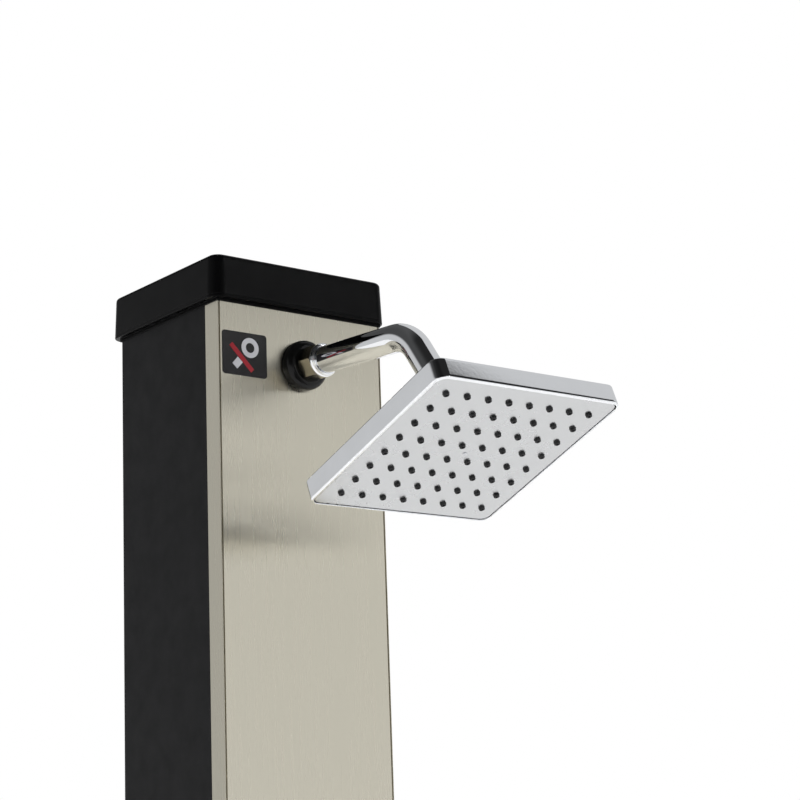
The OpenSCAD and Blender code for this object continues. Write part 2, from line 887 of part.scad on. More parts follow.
module stem_pin() {
    color("#9b9da0") at_front(mixer_z) translate([-8, 0, pivot_out])
        rotate([0, 90, 0]) cylinder(r = 1.5, h = 16, $fn = 32);
}

module lever_stem() {
    color("#a7a9ab") at_pivot() difference() {
        union() {
            translate([-4, 0, 0]) rotate([0, 90, 0]) cylinder(r = 4, h = 8);
            cylinder(r = 3.2, h = hub_in_r + 4);
        }
        translate([-5, 0, 0]) rotate([0, 90, 0]) cylinder(r = 1.55, h = 10, $fn = 32);
    }
}

// Hollow ball-shaped hub over the dome, with a flat blade pointing down.
module mixer_lever() {
    hub_out_r = hub_in_r + hub_t;
    color("#dfe0e3") at_pivot() difference() {
        union() {
            intersection() {
                sphere(hub_out_r);
                translate([0, 0, 13]) cylinder(r = 40, h = 40);
            }
            cylinder(r = 7, h = hub_out_r + 1);
            hull() {
                translate([0, -22, 21]) cylinder(r = 9, h = 5, $fn = 32);
                translate([0, -lever_reach, 30]) cylinder(r = 6.5, h = 4, $fn = 32);
            }
        }
        sphere(hub_in_r);
        cylinder(r = 3.25, h = hub_in_r + 4.05);
        translate([0, 0, hub_in_r + 1]) rotate([90, 0, 0]) cylinder(r = 1.5, h = 12, $fn = 24);
    }
}

module lever_screw() {
    color("#606264") at_pivot() translate([0, -3.3, hub_in_r + 1])
        rotate([90, 0, 0]) cylinder(r = 1.45, h = 3.4, $fn = 24);
}

// Two-colour disc on the hub that shows the warm and the cold side.
module index_cap() {
    color("#c43b3b") at_pivot() translate([0, 0, hub_in_r + hub_t + 1]) cylinder(r = 5, h = 1.2);
}

// ---------- foot tap ----------

module foot_tap_rosette() {
    color("#dcdde0") at_front(foot_tap_z) difference() {
        cylinder(r1 = 20, r2 = 18, h = 3);
        translate([0, 0, -1]) cylinder(r = tap_body_r + 0.05, h = 6);
    }
}

module foot_tap_body() {
    spout_out = 24;
    color("#d4d5d8") at_front(foot_tap_z) difference() {
        union() {
            translate([0, 0, -24]) cylinder(r = 10, h = 25);
            cylinder(r = tap_body_r, h = tap_body_out);
            translate([0, 0, spout_out]) rotate([90, 0, 0]) cylinder(r = 8, h = 28);
        }
        translate([0, 0, tap_body_out - 10]) cylinder(r = 4.05, h = 20);
        translate([0, 0, spout_out]) rotate([90, 0, 0]) cylinder(r = 4, h = 40);
        translate([0, 0, spout_out]) rotate([90, 0, 0]) translate([0, 0, 22]) cylinder(r = 6.6, h = 10);
        translate([0, 0, front_y - pipe_y]) cylinder(r = 4, h = 40);
        translate([7, 0, front_y - pipe_y]) rotate([0, 90, 0]) cylinder(r = pipe_r - 0.9, h = 10);
    }
}

module tap_spindle() {
    color("#b3a06a") at_front(foot_tap_z) translate([0, 0, tap_body_out - 9.5])
        cylinder(r = 4, h = 9.5 + 8);
}

// Quarter-turn lever with a boss and one short blade.
module foot_tap_lever() {
    color("#dfe0e3") at_front(foot_tap_z) translate([0, 0, tap_body_out + 0.8]) difference() {
        union() {
            cylinder(r = 11, h = 9);
            hull() {
                translate([0, 0, 2]) cylinder(r = 6, h = 6, $fn = 32);
                translate([38, 0, 4]) cylinder(r = 4.5, h = 4, $fn = 32);
            }
        }
        translate([0, 0, -1]) cylinder(r = 4.02, h = 8.4);
        translate([0, 0, 5]) cylinder(r = 1.7, h = 8, $fn = 24);
    }
}

module tap_screw() {
    color("#77797c") at_front(foot_tap_z) translate([0, 0, tap_body_out + 9.8])
        pan_screw(3.6, 1.6, 1.6, 1.6);
}

module spout_aerator() {
    color("#c9cacc") at_front(foot_tap_z) translate([0, 0, 24]) rotate([90, 0, 0])
        translate([0, 0, 22.05]) difference() {
            cylinder(r = 6.5, h = 7);
            for (i = [0 : 5]) rotate(i * 60) translate([3.2, 0, -1]) cylinder(r = 1.1, h = 10, $fn = 16);
            translate([0, 0, -1]) cylinder(r = 1.1, h = 10, $fn = 16);
        }
}

// ---------- nodes ----------

top_cap();
rear_shell();
front_panel();
left_trim();
right_trim();
trim_clips();
tool_label();
label_symbol();
label_bar();
outlet_elbow();
connector_seal();
outlet_grommet();
arm_connector();
arm_collar();
arm_o_ring();
shower_arm();
ball_connector();
filter_washer();
ball_seat();
friction_seat();
retaining_collar();
head_shell();
face_plate();
nozzle_mat();
face_gasket();
flow_spreader();
centre_plug();
tank_body();
tank_lid();
tank_feet();
hot_pipe();
cold_pipe();
riser_pipe();
pipe_clips();
inlet_tee();
hose_inlet();
inlet_nut();
drain_plug();
base_plate();
base_brackets();
base_screws();
foot_skirt();
cap_screws();
mixer_escutcheon();
mixer_body();
mixer_dome();
mixer_cartridge();
cartridge_rotor();
stem_pin();
lever_stem();
mixer_lever();
lever_screw();
index_cap();
foot_tap_rosette();
foot_tap_body();
tap_spindle();
foot_tap_lever();
tap_screw();
spout_aerator();
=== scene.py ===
"""Looks of the rain shower column: finer meshes, materials, light and camera round its frame.

Everything is in metres in the CAD frame: +Z up, the shower side faces -Y, and the column stands
on z = 0.
"""

import math

import bmesh
import bpy
from mathutils import Matrix, Vector
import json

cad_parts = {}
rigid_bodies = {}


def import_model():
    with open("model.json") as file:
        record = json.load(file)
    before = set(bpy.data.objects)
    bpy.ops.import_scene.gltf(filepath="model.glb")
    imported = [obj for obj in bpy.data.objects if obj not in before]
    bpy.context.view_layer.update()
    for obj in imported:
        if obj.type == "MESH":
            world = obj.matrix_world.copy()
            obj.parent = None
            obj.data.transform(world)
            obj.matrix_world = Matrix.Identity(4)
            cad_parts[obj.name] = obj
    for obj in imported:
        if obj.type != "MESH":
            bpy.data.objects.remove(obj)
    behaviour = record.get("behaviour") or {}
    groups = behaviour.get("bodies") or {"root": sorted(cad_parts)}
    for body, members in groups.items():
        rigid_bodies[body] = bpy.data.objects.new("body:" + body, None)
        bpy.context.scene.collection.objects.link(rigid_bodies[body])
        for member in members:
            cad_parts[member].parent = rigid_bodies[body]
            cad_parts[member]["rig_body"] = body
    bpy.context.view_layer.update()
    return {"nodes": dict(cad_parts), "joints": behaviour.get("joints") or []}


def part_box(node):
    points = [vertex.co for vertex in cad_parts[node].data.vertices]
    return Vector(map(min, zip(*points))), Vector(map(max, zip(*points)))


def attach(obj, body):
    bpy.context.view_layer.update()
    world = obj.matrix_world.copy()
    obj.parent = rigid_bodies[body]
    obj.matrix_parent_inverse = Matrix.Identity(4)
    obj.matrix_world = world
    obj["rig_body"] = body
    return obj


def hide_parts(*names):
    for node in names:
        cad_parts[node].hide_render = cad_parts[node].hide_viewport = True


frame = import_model()

MM = 0.001

# ---------- places taken from the frame ----------

JOINTS = {joint["name"]: joint for joint in frame["joints"]}
SHELL_LOW, SHELL_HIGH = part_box("rear_shell")
PANEL_LOW, PANEL_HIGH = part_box("front_panel")
CAP_LOW, CAP_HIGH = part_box("top_cap")
CAP_Z = SHELL_HIGH.z
SIDE_X = SHELL_HIGH.x
FRONT_Y = PANEL_LOW.y
BACK_Y = SHELL_HIGH.y
BALL = Vector(JOINTS["head_tilt"]["pos_m"])
HEAD_UP = Vector(JOINTS["head_spin"]["axis"])
MIXER_PIVOT = Vector(JOINTS["lever_lift"]["pos_m"])

# ---------- driving dimensions of the detailed pieces ----------

OUTLET_DROP = 42.3 * MM
ARM_DROOP = math.radians(2.4)
ARM_RUN = 112 * MM
BEND_RADIUS = 33.5 * MM
BEND_ANGLE = math.radians(51.4)
TUBE_R = 10 * MM
TUBE_WALL = 1.3 * MM
GROMMET_R = 18.6 * MM
GROMMET_H = 11 * MM
HEX_START = 12 * MM
HEX_END = 26.5 * MM
COLLAR_END = 31 * MM
TUBE_BORE_R = TUBE_R - TUBE_WALL
FACE_DROP = 44.5 * MM
HEAD_HALF = 77.38 * MM
HEAD_CORNER_R = 8.5 * MM
HEAD_RIM_H = 14.6 * MM
HEAD_BACK_Z = 23 * MM
NECK_R = 17.3 * MM
PLATE_HALF = 75.2 * MM
PLATE_CORNER_R = 6 * MM
PLATE_T = 2 * MM
NOZZLE_PITCH = 17.24 * MM
NOZZLE_ROWS = 8
NOZZLE_R = 2.1 * MM
NOZZLE_OUT = 1.8 * MM
TRIM_EDGE_Y = FRONT_Y + 16.6 * MM
LAP_Y = FRONT_Y + 2.6 * MM
MERGE_GAP = 0.002 * MM


def frame_at(origin, x_axis, z_axis):
    """Matrix of a local frame with that origin and those X and Z directions."""
    y_axis = z_axis.cross(x_axis)
    rotation = Matrix((x_axis, y_axis, z_axis)).transposed().to_4x4()
    return Matrix.Translation(origin) @ rotation


WORLD = Matrix.Identity(4)
ACROSS = Vector((1, 0, 0))
OUTWARD = Vector((0, -1, 0))
BACKWARD = Vector((0, 1, 0))
OUTLET = frame_at(
    Vector((0, FRONT_Y, CAP_Z - OUTLET_DROP)),
    ACROSS,
    Vector((0, -math.cos(ARM_DROOP), -math.sin(ARM_DROOP))),
)
BEND = OUTLET @ Matrix.Translation((0, 0, ARM_RUN))
SECOND_RUN = (
    BEND
    @ Matrix.Translation((0, -BEND_RADIUS, 0))
    @ Matrix.Rotation(BEND_ANGLE, 4, "X")
    @ Matrix.Translation((0, BEND_RADIUS, 0))
)
HEAD = frame_at(BALL - FACE_DROP * HEAD_UP, ACROSS, HEAD_UP)


# ---------- outlines ----------


def arc(centre, radius, start, end, steps):
    """Points of an arc between two angles in degrees."""
    cx, cy = centre
    angles = [math.radians(start + (end - start) * i / steps) for i in range(steps + 1)]
    return [(cx + radius * math.cos(a), cy + radius * math.sin(a)) for a in angles]


def rounded_corners(corners, steps=4):
    """Outline through corners given as (x, y, radius). A radius above 0 makes an arc."""
    points = []
    count = len(corners)
    for i, (x, y, radius) in enumerate(corners):
        here = Vector((x, y))
        if radius <= 0:
            points.append((x, y))
            continue
        before = (Vector(corners[i - 1][:2]) - here).normalized()
        after = (Vector(corners[(i + 1) % count][:2]) - here).normalized()
        half_angle = before.angle(after) / 2
        setback = radius / math.tan(half_angle)
        centre = here + (before + after).normalized() * (radius / math.sin(half_angle))
        start = here + before * setback - centre
        turn = start.angle_signed(here + after * setback - centre)
        for k in range(steps + 1):
            spoke = start.copy()
            spoke.rotate(Matrix.Rotation(-turn * k / steps, 2))
            points.append(tuple(centre + spoke))
    return points


def rounded_rectangle(half_x, half_y, radius, centre=(0, 0), steps=8):
    """Outline of a rectangle with round corners, counter-clockwise."""
    cx, cy = centre
    points = []
    for sx, sy, start in ((1, 1, 0), (-1, 1, 90), (-1, -1, 180), (1, -1, 270)):
        corner = (cx + sx * (half_x - radius), cy + sy * (half_y - radius))
        points += arc(corner, radius, start, start + 90, steps)
    return points


# ---------- meshes ----------


def add_piece(name, solid, node, sharp=35):
    """Makes the piece that stands for a CAD node out of vertices and faces."""
    vertices, faces = solid
    mesh = bpy.data.meshes.new(name)
    mesh.from_pydata(vertices, [], faces)
    clean = bmesh.new()
    clean.from_mesh(mesh)
    bmesh.ops.remove_doubles(clean, verts=clean.verts, dist=MERGE_GAP)
    bmesh.ops.recalc_face_normals(clean, faces=clean.faces)
    clean.to_mesh(mesh)
    clean.free()
    place_mesh(name, mesh, node, sharp)


def place_mesh(name, mesh, node, sharp=35):
    """Puts a mesh in the scene with the body and finish of the CAD node that it stands for."""
    slot = NODE_SLOTS[node]
    mesh.shade_smooth()
    mesh.set_sharp_from_angle(angle=math.radians(sharp))
    piece = bpy.data.objects.new(name, mesh)
    bpy.context.scene.collection.objects.link(piece)
    weighted = piece.modifiers.new("flat_faces", "WEIGHTED_NORMAL")
    weighted.keep_sharp = True
    mesh.materials.append(MATERIALS[slot])
    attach(piece, frame["nodes"][node]["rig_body"])
    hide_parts(node)


def skin(rings, matrix, loop=False, closed_ends=True):
    """Vertices and quads between rings of equal length, with flat ends or joined into a loop."""
    size = len(rings[0])
    vertices = [matrix @ Vector(p) for ring in rings for p in ring]
    pairs = len(rings) if loop else len(rings) - 1
    faces = []
    for row in range(pairs):
        low, high = row * size, ((row + 1) % len(rings)) * size
        for i in range(size):
            j = (i + 1) % size
            faces.append((low + i, low + j, high + j, high + i))
    if closed_ends and not loop:
        faces.append(tuple(reversed(range(size))))
        faces.append(tuple(range(len(vertices) - size, len(vertices))))
    return vertices, faces


def turned(profile, matrix, segments=64, loop=True):
    """Surface turned about local Z from (radius, z) rows. A radius may depend on the angle."""
    rings = []
    for radius, z in profile:
        ring = []
        for i in range(segments):
            a = 2 * math.pi * i / segments
            r = radius(a) if callable(radius) else radius
            ring.append((r * math.cos(a), r * math.sin(a), z))
        rings.append(ring)
    return skin(rings, matrix, loop=loop, closed_ends=not loop)


def joined(parts):
    """One list of vertices and faces out of several."""
    vertices, faces = [], []
    for part_vertices, part_faces in parts:
        start = len(vertices)
        vertices += part_vertices
        faces += [tuple(start + i for i in face) for face in part_faces]
    return vertices, faces


def prism(outline, low, high, matrix):
    """An outline in a frame's X and Y extruded between two heights."""
    return skin([[(x, y, z) for x, y in outline] for z in (low, high)], matrix)


def hexagon_radius(across_flats, limit):
    """Radius of a hexagon with corners on X, held inside a circle as a nut's chamfer does."""

    def radius(angle):
        within = (angle + math.pi / 6) % (math.pi / 3) - math.pi / 6
        flat = across_flats / 2 / math.cos(within - math.copysign(math.pi / 6, within))
        return min(flat, limit)

    return radius


def hexagon_rows(across_flats, low, high, chamfer=1 * MM, steps=4):
    """Profile rows of a nut whose corners are cut back by a cone at both ends."""
    corner = across_flats / math.sqrt(3)
    flat = across_flats / 2
    end_r = flat * 0.98
    depths = [chamfer * k / steps for k in range(steps + 1)]
    limits = [end_r + (corner - end_r) * k / steps for k in range(steps + 1)]
    rows = [(hexagon_radius(across_flats, r), low + d) for d, r in zip(depths, limits)]
    back = [(hexagon_radius(across_flats, r), high - d) for d, r in zip(depths, limits)]
    return rows + back[::-1]


def softened(node, width):
    """A copy of a CAD node with its flat faces merged and its sharp edges rounded."""
    mesh = bpy.data.meshes.new(node + "_body")
    edit = bmesh.new()
    edit.from_mesh(frame["nodes"][node].data)
    bmesh.ops.remove_doubles(edit, verts=edit.verts, dist=MERGE_GAP)
    bmesh.ops.dissolve_limit(
        edit, angle_limit=math.radians(1), verts=edit.verts, edges=edit.edges
    )
    sharp = [
        edge
        for edge in edit.edges
        if len(edge.link_faces) == 2 and edge.calc_face_angle() > math.radians(40)
    ]
    bmesh.ops.bevel(
        edit,
        geom=sharp,
        offset=width,
        offset_type="OFFSET",
        segments=2,
        profile=0.5,
        affect="EDGES",
        clamp_overlap=True,
    )
    edit.to_mesh(mesh)
    edit.free()
    place_mesh(node + "_soft", mesh, node)


# ---------- materials ----------


class Finish:
    """A node material under construction. Each call adds nodes and returns an output to link on."""

    def __init__(self, name):
        self.material = bpy.data.materials.new(name)
        self.material.use_nodes = True
        self.tree = self.material.node_tree
        self.shader = self.tree.nodes["Principled BSDF"]
        self.place = self.add("ShaderNodeTexCoord").outputs["Object"]

    def add(self, kind, links=None, **settings):
        node = self.tree.nodes.new(kind)
        for key, value in settings.items():
            setattr(node, key, value)
        for socket, value in (links or {}).items():
            self.feed(node.inputs[socket], value)
        return node

    def feed(self, socket, value):
        if isinstance(value, bpy.types.NodeSocket):
            self.tree.links.new(value, socket)
        else:
            socket.default_value = value

    def noise(self, scale, stretch=(1, 1, 1), detail=4, rough=0.55):
        """Noise about `scale` cells to the metre, stretched along an axis by a factor below 1."""
        mapping = self.add("ShaderNodeMapping", {"Vector": self.place, "Scale": stretch})
        texture = self.add(
            "ShaderNodeTexNoise",
            {"Vector": mapping.outputs[0], "Scale": scale, "Detail": detail, "Roughness": rough},
        )
        return texture.outputs["Fac"]

    def between(self, value, low, high, start=0.3, end=0.7):
        """A value remapped from start..end to low..high."""
        links = {"Value": value, "From Min": start, "From Max": end, "To Min": low, "To Max": high}
        return self.add("ShaderNodeMapRange", links).outputs["Result"]

    def mix(self, factor, first, second):
        """Two colours mixed by a factor. The node's sockets 6, 7 and 2 are its colour ones."""
        node = self.add("ShaderNodeMix", data_type="RGBA")
        self.feed(node.inputs["Factor"], factor)
        self.feed(node.inputs[6], first)
        self.feed(node.inputs[7], second)
        return node.outputs[2]

    def bump(self, height, distance):
        links = {"Height": height, "Distance": distance, "Strength": 1.0}
        return self.add("ShaderNodeBump", links).outputs["Normal"]

    def set(self, **values):
        """Sets or links sockets of the shader, named with _ for a space."""
        for key, value in values.items():
            self.feed(self.shader.inputs[key.replace("_", " ")], value)
        return self


def rgb(red, green, blue):
    return (red, green, blue, 1.0)


def shades(color, spread):
    """A darker and a lighter shade of a colour."""
    return rgb(*(c * (1 - spread) for c in color)), rgb(*(min(1, c * (1 + spread)) for c in color))


def moulded(name, color, roughness, grain=0.02 * MM, grain_scale=2600, gloss=0.5, spread=0.12):
    """Plastic or rubber: slight colour drift, spark-eroded grain and rubbed patches."""
    finish = Finish(name)
    dark, light = shades(color, spread)
    drift = finish.noise(14)
    rubbed = finish.noise(55, detail=6)
    texture = finish.noise(grain_scale, detail=2)
    finish.set(
        Base_Color=finish.mix(finish.between(drift, 0, 1), dark, light),
        Roughness=finish.between(rubbed, roughness * 0.88, min(1, roughness * 1.14)),
        Specular_IOR_Level=gloss,
        Normal=finish.bump(texture, grain),
    )
    return finish.material


def polished(name, color, roughness, spread=0.03, ripple=0.004 * MM, wear=0.9):
    """Plated metal: almost a mirror, with a faint orange peel, haze and water marks."""
    finish = Finish(name)
    dark, light = shades(color, spread)
    haze = finish.noise(38, detail=5)
    peel = finish.noise(420, detail=2)
    marks = finish.noise(170, detail=7, rough=0.7)
    clear = finish.between(marks, 0, roughness * wear, 0.58, 0.75)
    base = finish.between(haze, roughness * 0.6, roughness * 1.3)
    total = finish.add("ShaderNodeMath", {0: base, 1: clear}, operation="ADD").outputs[0]
    finish.set(
        Base_Color=finish.mix(finish.between(haze, 0, 1), dark, light),
        Metallic=1.0,
        Roughness=total,
        Normal=finish.bump(peel, ripple),
    )
    return finish.material


def brushed(name, color, roughness, anisotropy, spread, depth):
    """Brushed sheet metal: fine upright lines that spread reflections sideways."""
    finish = Finish(name)
    lines = (1, 1, 0.012)
    dark, light = shades(color, spread)
    fine = finish.noise(5200, stretch=lines, detail=3, rough=0.6)
    coarse = finish.noise(900, stretch=lines, detail=4, rough=0.6)
    cloud = finish.noise(5, detail=3)
    tangent = finish.add("ShaderNodeTangent", direction_type="RADIAL", axis="Z").outputs[0]
    streaks = finish.mix(finish.between(coarse, 0, 1, 0.25, 0.75), dark, light)
    finish.set(
        Base_Color=finish.mix(finish.between(cloud, 0.0, 0.35), streaks, light),
        Metallic=1.0,
        Roughness=finish.between(coarse, roughness * 0.96, roughness * 1.04),
        Anisotropic=anisotropy,
        Tangent=tangent,
        Normal=finish.bump(fine, depth),
    )
    return finish.material


def cast_metal(name, color, roughness, spread=0.1, grain_scale=900, grain=0.01 * MM):
    """Machined or drawn metal that isn't plated: patchy tarnish and fine grain."""
    finish = Finish(name)
    dark, light = shades(color, spread)
    tarnish = finish.noise(60, detail=6, rough=0.65)
    texture = finish.noise(grain_scale, detail=3)
    finish.set(
        Base_Color=finish.mix(finish.between(tarnish, 0, 1), dark, light),
        Metallic=1.0,
        Roughness=finish.between(tarnish, roughness * 1.2, roughness * 0.85),
        Normal=finish.bump(texture, grain),
    )
    return finish.material


MATERIALS = {
    "black_plastic": moulded("cap_plastic", (0.0018, 0.0018, 0.002), 0.34, gloss=0.065),
    "black_casing": moulded(
        "casing_plastic", (0.005, 0.005, 0.0055), 0.48, gloss=0.12, grain_scale=1800
    ),
    "brushed_panel": brushed(
        "champagne_steel",
        (0.66, 0.625, 0.52),
        0.28,
        anisotropy=0.95,
        spread=0.008,
        depth=0.0002 * MM,
    ),
    "label_black": moulded("label_film", (0.012, 0.011, 0.012), 0.4, gloss=0.3, grain_scale=4000),
    "label_grey": moulded("label_print_grey", (0.62, 0.62, 0.65), 0.5, gloss=0.3, grain_scale=4000),
    "label_red": moulded("label_print_red", (0.36, 0.02, 0.03), 0.5, gloss=0.3, grain_scale=4000),
    "black_rubber": moulded(
        "grommet_rubber", (0.003, 0.003, 0.003), 0.2, gloss=0.22, grain=0.006 * MM
    ),
    "brass": cast_metal("yellow_brass", (0.68, 0.50, 0.24), 0.32),
    "dark_nickel": cast_metal("dark_nickel", (0.36, 0.325, 0.25), 0.2, grain=0.004 * MM),
    "chrome": polished("mirror_chrome", (0.86, 0.87, 0.89), 0.035),
    "satin_chrome": polished(
        "satin_chrome", (0.57, 0.575, 0.58), 0.26, spread=0.012, ripple=0.002 * MM, wear=0.15
    ),
    "nozzle_rubber": moulded(
        "nozzle_rubber", (0.014, 0.014, 0.015), 0.5, gloss=0.35, grain=0.008 * MM
    ),
    "seal_rubber": moulded("seal_rubber", (0.02, 0.02, 0.02), 0.6),
    "filter_grey": moulded("filter_plastic", (0.2, 0.22, 0.24), 0.6),
    "nylon": moulded("natural_nylon", (0.82, 0.80, 0.74), 0.5, spread=0.04),
    "tank_plastic": moulded("tank_plastic", (0.03, 0.03, 0.032), 0.5),
    "copper": cast_metal("copper_pipe", (0.62, 0.33, 0.18), 0.3, spread=0.16),
    "steel_plate": moulded(
        "zinc_coat", (0.27, 0.275, 0.28), 0.42, gloss=0.6, grain_scale=1200, spread=0.16
    ),
    "screw_steel": cast_metal("stainless_screw", (0.55, 0.56, 0.58), 0.28),
    "ceramic_white": moulded("cartridge_plastic", (0.80, 0.79, 0.75), 0.35, spread=0.04),
    "index_red": moulded("index_enamel", (0.55, 0.04, 0.04), 0.2, grain=0.003 * MM),
}

NODE_SLOTS = {
    name: node.material_slots[0].material.name.split(".")[0]
    for name, node in frame["nodes"].items()
}
for name, cad_node in frame["nodes"].items():
    for material_slot in cad_node.material_slots:
        material_slot.material = MATERIALS[NODE_SLOTS[name]]

# ---------- casing ----------


def cap_cover():
    """Top cap: drafted walls, a double bead at the lip, a neck band and a skirt that plugs in."""
    half_y = (CAP_HIGH.y - CAP_LOW.y) / 2
    middle = (0, (CAP_HIGH.y + CAP_LOW.y) / 2)
    corner_r = 10 * MM
    draft = 1.1 * MM
    top_r = 3.5 * MM
    lip_r = 0.7 * MM
    bead_z = 2.1 * MM
    groove = 0.3 * MM
    wall = 2.5 * MM
    neck_h, neck_in, neck_out, neck_ease = 2.3 * MM, 0.05 * MM, 0.7 * MM, 0.2 * MM
    skirt_h = CAP_Z - CAP_LOW.z
    height = CAP_HIGH.z - CAP_Z
    skirt_gap = 3.3 * MM
    skirt_x = SIDE_X - skirt_gap
    skirt_high_y = BACK_Y - skirt_gap
    skirt_half_y = (skirt_high_y - LAP_Y) / 2
    skirt_y = (skirt_high_y + LAP_Y) / 2
    skirt_t = 2 * MM

    def outside(z, inset):
        outline = rounded_rectangle(CAP_HIGH.x - inset, half_y - inset, corner_r - inset, middle)
        return [(x, y, z) for x, y in outline]

    def skirt(z, inset):
        outline = rounded_rectangle(skirt_x - inset, skirt_half_y - inset, 2 * MM, (0, skirt_y))
        return [(x, y, z) for x, y in outline]

    def neck(z, out):
        return [(x, y, z) for x, y in rounded_rectangle(SIDE_X + out, BACK_Y + out, 0.6 * MM)]

    rings = [skirt(height - wall, skirt_t), skirt(-skirt_h, skirt_t)]
    rings += [skirt(-skirt_h, 0), skirt(0, 0)]
    rings += [neck(0, neck_in), neck(-neck_h, neck_in), neck(-neck_h, neck_out - neck_ease)]
    rings += [neck(neck_ease - neck_h, neck_out), neck(-0.1 * MM, neck_out)]
    rings.append(neck(0, neck_out + 0.1 * MM))
    rings.append(outside(0, lip_r + 0.6 * MM))
    for inset, z in arc((lip_r, lip_r), lip_r, 270, 180, 4):
        rings.append(outside(z, inset))
    rings.append(outside(bead_z - 0.35 * MM, 0))
    rings.append(outside(bead_z, groove))
    rings.append(outside(bead_z + 0.3 * MM, groove))
    rings.append(outside(bead_z + 0.6 * MM, 0.08 * MM))
    for inset, z in arc((draft + top_r, height - top_r), top_r, 180, 90, 8):
        rings.append(outside(z, inset))
    rings.append(outside(height, draft + top_r + 4 * MM))
    add_piece("cap_cover", skin(rings, Matrix.Translation((0, 0, CAP_Z))), "top_cap")


def casing_back():
    """U-shaped casing with its two front laps, round back edges and eased front edges."""
    wall = 3 * MM
    lap_out = SIDE_X - 0.8 * MM
    lap_in = lap_out - 1.5 * MM
    inner = SIDE_X - wall
    half = [
        (SIDE_X, BACK_Y, 2 * MM),
        (SIDE_X, TRIM_EDGE_Y, 0.35 * MM),
        (lap_out, TRIM_EDGE_Y, 0),
        (lap_out, LAP_Y, 0),
        (lap_in, LAP_Y, 0),
        (lap_in, TRIM_EDGE_Y, 0),
        (inner, TRIM_EDGE_Y, 0),
        (inner, BACK_Y - wall, 0.5 * MM),
    ]
    mirrored = [(-x, y, r) for x, y, r in reversed(half)]
    outline = rounded_corners(half + mirrored)
    add_piece("casing_back", prism(outline, SHELL_LOW.z, CAP_Z, WORLD), "rear_shell")


def corner_trim(name, node, side):
    """Corner trim: a leg along the side, turned in at its bright edge, and a flange behind."""
    leg = 0.8 * MM
    bright = 2 * MM
    turned_in = 0.22 * MM
    flange_y = PANEL_HIGH.y
    flange_x = SIDE_X - 12 * MM
    half = [
        (SIDE_X, TRIM_EDGE_Y, 0.2 * MM),
        (SIDE_X, FRONT_Y + bright, 0.4 * MM),
        (SIDE_X - turned_in, FRONT_Y, 0.2 * MM),
        (SIDE_X - leg, FRONT_Y, 0.15 * MM),
        (SIDE_X - leg, flange_y, 0),
        (flange_x, flange_y, 0),
        (flange_x, flange_y + leg, 0),
        (SIDE_X - leg, flange_y + leg, 0),
        (SIDE_X - leg, TRIM_EDGE_Y, 0),
    ]
    outline = [(side * x, y) for x, y in rounded_corners(half)]
    add_piece(name, prism(outline, SHELL_LOW.z, CAP_Z, WORLD), node)


cap_cover()
casing_back()
corner_trim("trim_left", "left_trim", -1)
corner_trim("trim_right", "right_trim", 1)

# ---------- arm ----------


def grommet():
    """Glossy rubber ring with a domed edge and a raised inner lip."""
    bore = 10.7 * MM
    base = 0.8 * MM
    lip_r = 13.6 * MM
    shoulder = GROMMET_H - 0.6 * MM
    profile = rounded_corners(
        [
            (bore, base, 0),
            (GROMMET_R, base, 0.4 * MM),
            (GROMMET_R, shoulder, 5.6 * MM),
            (lip_r + 0.3 * MM, shoulder, 0.3 * MM),
            (lip_r, GROMMET_H, 0.3 * MM),
            (bore, GROMMET_H, 0.4 * MM),
        ],
        steps=8,
    )
    add_piece("grommet_ring", turned(profile, OUTLET, segments=96), "outlet_grommet")


def connector():
    """Threaded shank, shoulder, chamfered hexagon and the sleeve inside the tube."""
    bore = 6 * MM
    shank_r, shank_end, shank_ease = 10.4 * MM, -20 * MM, 0.6 * MM
    shoulder_r, shoulder_z = 10.8 * MM, GROMMET_H + 0.1 * MM
    across_flats = 22 * MM
    sleeve_r, sleeve_end, sleeve_ease = TUBE_BORE_R - 0.1 * MM, HEX_END + 18 * MM, 0.4 * MM
    profile = [(bore, shank_end), (shank_r - shank_ease, shank_end)]
    profile += [(shank_r, shank_end + shank_ease), (shank_r, shoulder_z)]
    profile += [(shoulder_r, shoulder_z), (shoulder_r, HEX_START)]
    profile += hexagon_rows(across_flats, HEX_START, HEX_END)
    profile += [(sleeve_r, HEX_END), (sleeve_r, sleeve_end - sleeve_ease)]
    profile += [(sleeve_r - sleeve_ease, sleeve_end), (bore, sleeve_end)]
    add_piece("connector_nut", turned(profile, OUTLET, segments=96), "arm_connector", sharp=25)


def collar():
    """Polished end ring of the tube: a wide shoulder, a waist and a bead against the tube."""
    outer = 12.4 * MM
    bore = TUBE_R + 0.05 * MM
    low = HEX_END + 0.02 * MM
    profile = rounded_corners(
        [
            (bore, low, 0),
            (outer, low, 0.4 * MM),
            (outer, low + 1.5 * MM, 0.5 * MM),
            (11.6 * MM, low + 2.4 * MM, 0.8 * MM),
            (11.4 * MM, COLLAR_END - 0.9 * MM, 0.3 * MM),
            (11 * MM, COLLAR_END - 1.1 * MM, 0.15 * MM),
            (10.9 * MM, COLLAR_END, 0.3 * MM),
            (bore, COLLAR_END, 0.15 * MM),
        ],
        steps=6,
    )
    add_piece("collar_ring", turned(profile, OUTLET, segments=96), "arm_collar", sharp=60)


